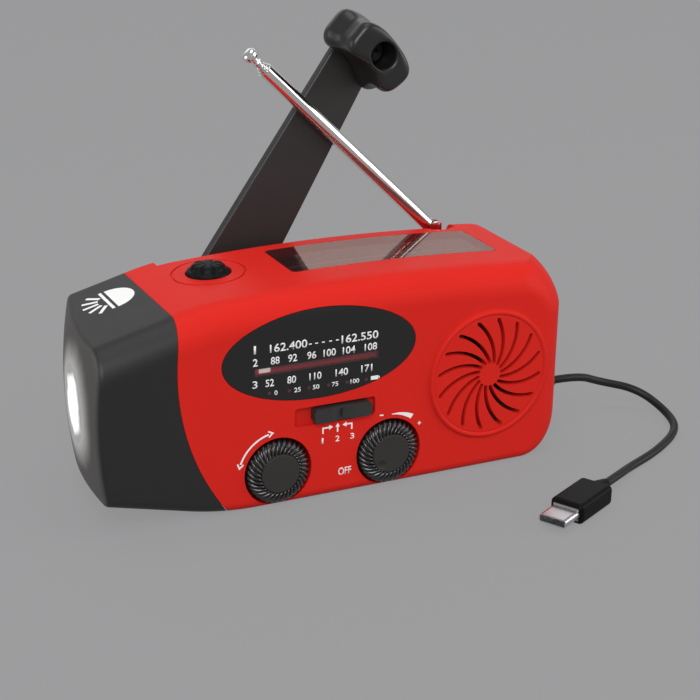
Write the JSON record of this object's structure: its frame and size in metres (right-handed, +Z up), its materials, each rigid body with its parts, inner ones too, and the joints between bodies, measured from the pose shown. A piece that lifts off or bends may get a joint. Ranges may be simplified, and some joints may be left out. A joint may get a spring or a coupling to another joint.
{
  "type": "hand cranked weather radio",
  "caption": "Handheld weather radio with a folding hand crank, torch, solar strip, telescopic aerial, tuning dial, speaker grille and a charging lead.",
  "frame": {"origin": "centre of the case length on its flat bottom, 22.5 mm behind the front face", "axes": "+X along the case away from the torch, +Y from the front face to the back, +Z up"},
  "size_m": [0.1838, 0.0996, 0.1245],
  "materials": {
    "red_plastic": "satin",
    "dark_plastic": "satin",
    "black_gloss": "gloss",
    "black_plastic": "matt",
    "clear_plastic": "clear",
    "pointer_white": "satin",
    "chrome": "mirror",
    "steel": "bright",
    "lamp": "clear",
    "board": "satin",
    "chip": "matt",
    "gear_white": "satin",
    "cell": "gloss",
    "cone": "matt",
    "ferrite": "matt",
    "battery": "satin",
    "rubber": "matt"
  },
  "bodies": {
    "case": {"front_case": "red_plastic", "rear_case": "red_plastic", "torch_head": "dark_plastic", "torch_lens": "clear_plastic", "torch_reflector": "chrome", "torch_lamps": "lamp", "torch_board": "board", "torch_switch": "chip", "dial_window": "black_gloss", "tuning_capacitor": "chip", "volume_control": "steel", "band_switch": "chip", "solar_cover": "clear_plastic", "solar_cell": "cell", "idler_axle": "steel", "generator": "steel", "gear_plate": "black_plastic", "plate_screws": "steel", "case_screws": "steel", "main_board": "board", "radio_chips": "chip", "indicator_board": "board", "indicator_lamps": "lamp", "ferrite_rod": "ferrite", "speaker_frame": "black_plastic", "speaker_cone": "cone", "speaker_magnet": "steel", "usb_socket": "steel", "charge_board": "board", "battery": "battery", "usb_plug": "rubber", "usb_cable": "rubber", "phone_plug": "rubber"},
    "tuning": {"tuning_knob": "black_gloss", "tuning_shaft": "steel", "tuning_gear": "gear_white"},
    "pointer": {"dial_pointer": "pointer_white"},
    "volume": {"volume_knob": "black_gloss", "volume_shaft": "steel"},
    "band": {"band_slider": "black_plastic"},
    "button": {"torch_button": "black_plastic"},
    "door": {"battery_door": "red_plastic"},
    "crank": {"crank_hub": "black_plastic", "crank_shaft": "steel", "drive_gear": "gear_white", "hinge_pin": "steel"},
    "arm": {"crank_arm": "black_plastic", "knob_screw": "steel"},
    "grip": {"crank_knob": "black_plastic"},
    "idler": {"idler_gear": "gear_white"},
    "rotor": {"rotor_gear": "steel"},
    "aerial_swivel": {"aerial_base": "chrome", "aerial_pin": "steel"},
    "aerial_1": {"aerial_tube_1": "chrome"},
    "aerial_2": {"aerial_tube_2": "chrome"},
    "aerial_3": {"aerial_tube_3": "chrome"},
    "aerial_4": {"aerial_tube_4": "chrome"},
    "aerial_5": {"aerial_rod": "chrome"}
  },
  "joints": [
    {"name": "crank_spin", "type": "hinge", "parent": "case", "child": "crank", "pos_m": [-0.0273, 0.0269, 0.03], "axis": [0, 1, 0], "range_deg": [-270, 30]},
    {"name": "idler_spin", "type": "hinge", "parent": "case", "child": "idler", "pos_m": [-0.00858, 0.013, 0.01784], "axis": [0, 1, 0], "range_deg": [-128.6, 1157.2]},
    {"name": "rotor_spin", "type": "hinge", "parent": "case", "child": "rotor", "pos_m": [-0.01173, 0.011, 0.03569], "axis": [0, 1, 0], "range_deg": [-4628.6, 514.3]},
    {"name": "crank_fold", "type": "hinge", "parent": "crank", "child": "arm", "pos_m": [-0.0273, 0.0269, 0.03], "axis": [-0.848, 0, 0.5299], "range_deg": [0, 180]},
    {"name": "crank_knob_spin", "type": "hinge", "parent": "arm", "child": "grip", "pos_m": [0.02484, 0.017, 0.11345], "axis": [0, 1, 0], "continuous": true},
    {"name": "tuning_turn", "type": "hinge", "parent": "case", "child": "tuning", "pos_m": [-0.0199, -0.024, 0.0104], "axis": [0, 1, 0], "range_deg": [-13.4, 292.2]},
    {"name": "pointer_slide", "type": "slide", "parent": "case", "child": "pointer", "axis": [1, 0, 0], "range_m": [-0.00141, 0.03061]},
    {"name": "volume_turn", "type": "hinge", "parent": "case", "child": "volume", "pos_m": [0.0132, -0.024, 0.0104], "axis": [0, 1, 0], "range_deg": [-15, 265]},
    {"name": "band_slide", "type": "slide", "parent": "case", "child": "band", "axis": [1, 0, 0], "range_m": [-0.004, 0]},
    {"name": "torch_press", "type": "slide", "parent": "case", "child": "button", "axis": [0, 0, -1], "range_m": [0, 0.002], "stiffness_N_per_m": 400},
    {"name": "battery_door_slide", "type": "slide", "parent": "case", "child": "door", "axis": [0, 1, 0], "range_m": [0, 0.008]},
    {"name": "aerial_turn", "type": "hinge", "parent": "case", "child": "aerial_swivel", "pos_m": [0.0497, 0.0226, 0.05], "axis": [0, 0, 1], "range_deg": [0, 180]},
    {"name": "aerial_tilt", "type": "hinge", "parent": "aerial_swivel", "child": "aerial_1", "pos_m": [0.0497, 0.0226, 0.057], "axis": [0, 1, 0], "range_deg": [-43.9, 9]},
    {"name": "aerial_slide_1", "type": "slide", "parent": "aerial_1", "child": "aerial_2", "axis": [-0.7206, 0, 0.6934], "range_m": [0, 0.06]},
    {"name": "aerial_slide_2", "type": "slide", "parent": "aerial_2", "child": "aerial_3", "axis": [-0.7206, 0, 0.6934], "range_m": [0, 0.06]},
    {"name": "aerial_slide_3", "type": "slide", "parent": "aerial_3", "child": "aerial_4", "axis": [-0.7206, 0, 0.6934], "range_m": [0, 0.06]},
    {"name": "aerial_slide_4", "type": "slide", "parent": "aerial_4", "child": "aerial_5", "axis": [-0.7206, 0, 0.6934], "range_m": [0, 0.06]}
  ],
  "couplings": [
    {"joint": "idler_spin", "follows": "crank_spin", "ratio": -4.2857},
    {"joint": "rotor_spin", "follows": "crank_spin", "ratio": 17.143},
    {"joint": "pointer_slide", "follows": "tuning_turn", "m_per_rad": 0.006},
    {"joint": "aerial_slide_2", "follows": "aerial_slide_1", "ratio": 1},
    {"joint": "aerial_slide_3", "follows": "aerial_slide_1", "ratio": 1},
    {"joint": "aerial_slide_4", "follows": "aerial_slide_1", "ratio": 1}
  ]
}
